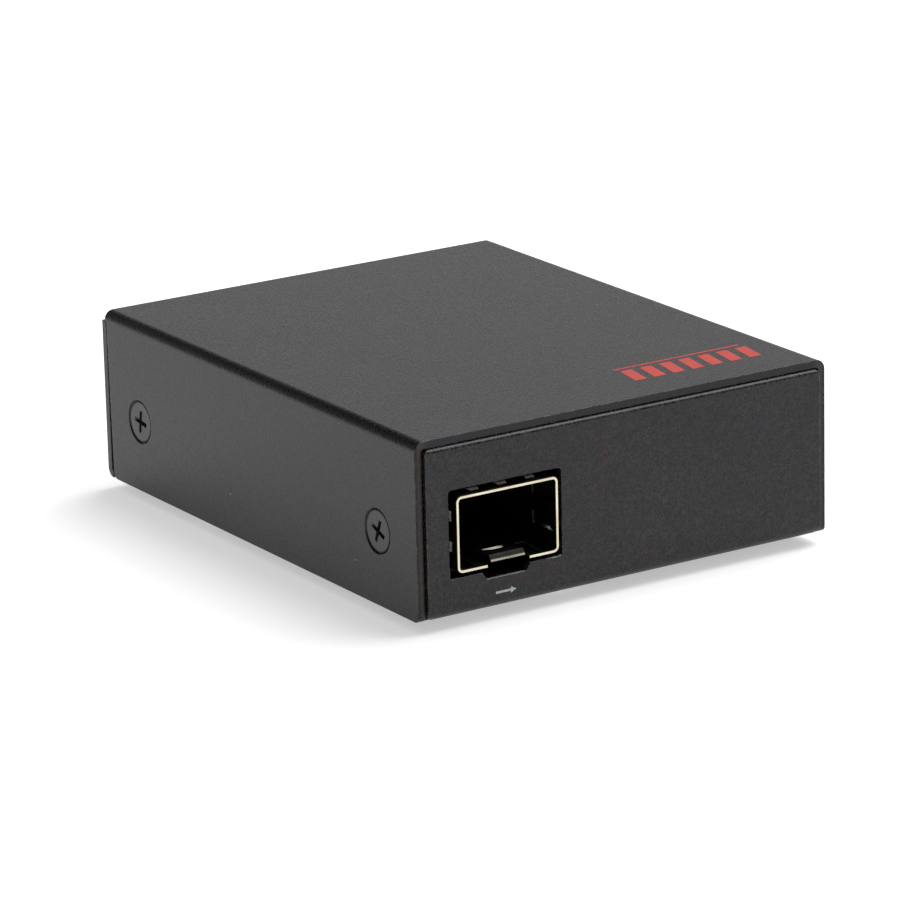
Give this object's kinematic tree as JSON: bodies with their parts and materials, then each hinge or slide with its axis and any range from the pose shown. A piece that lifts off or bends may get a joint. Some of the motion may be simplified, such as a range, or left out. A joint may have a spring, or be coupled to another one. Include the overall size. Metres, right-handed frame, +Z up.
{
  "type": "fibre media converter",
  "caption": "Small black folded-steel box that joins a pluggable fibre module slot to a copper network jack, with a power inlet and indicator lights.",
  "frame": {"origin": "middle of the footprint, on the surface that the rubber feet stand on", "axes": "+Z up, the module cage faces -Y, the network jack faces +Y"},
  "size_m": [0.0616, 0.0792, 0.0246],
  "materials": {
    "housing": "satin",
    "screw_black": "satin",
    "cage_metal": "satin",
    "board": "matte",
    "spacer_steel": "satin",
    "plastic_black": "matte",
    "contact_gold": "gloss",
    "jack_metal": "satin",
    "lens_green": "gloss",
    "lens_amber": "gloss",
    "chip_black": "matte",
    "ferrite": "matte",
    "can_metal": "satin",
    "ceramic": "matte",
    "rubber": "matte"
  },
  "bodies": {
    "root": {"top_cover": "housing", "base_tray": "housing", "cover_screws": "screw_black", "circuit_board": "board", "board_standoffs": "spacer_steel", "board_screws": "spacer_steel", "module_cage": "cage_metal", "module_connector": "plastic_black", "module_contacts": "contact_gold", "network_jack_housing": "plastic_black", "network_jack_shield": "jack_metal", "network_jack_contacts": "contact_gold", "network_jack_light_left": "lens_green", "network_jack_light_right": "lens_amber", "power_inlet_body": "plastic_black", "power_inlet_pin": "jack_metal", "power_inlet_spring": "jack_metal", "power_inlet_tail": "jack_metal", "indicator_holder": "plastic_black", "indicator_leads": "spacer_steel", "indicator_power": "lens_green", "indicator_fibre": "lens_green", "indicator_copper": "lens_green", "converter_chip": "chip_black", "memory_chip": "chip_black", "line_transformer": "chip_black", "regulator_chip": "chip_black", "power_inductor": "ferrite", "input_capacitor": "can_metal", "output_capacitor": "can_metal", "crystal_can": "can_metal", "chip_parts": "ceramic", "foot_front_left": "rubber", "foot_front_right": "rubber", "foot_rear_left": "rubber", "foot_rear_right": "rubber"}
  },
  "joints": []
}
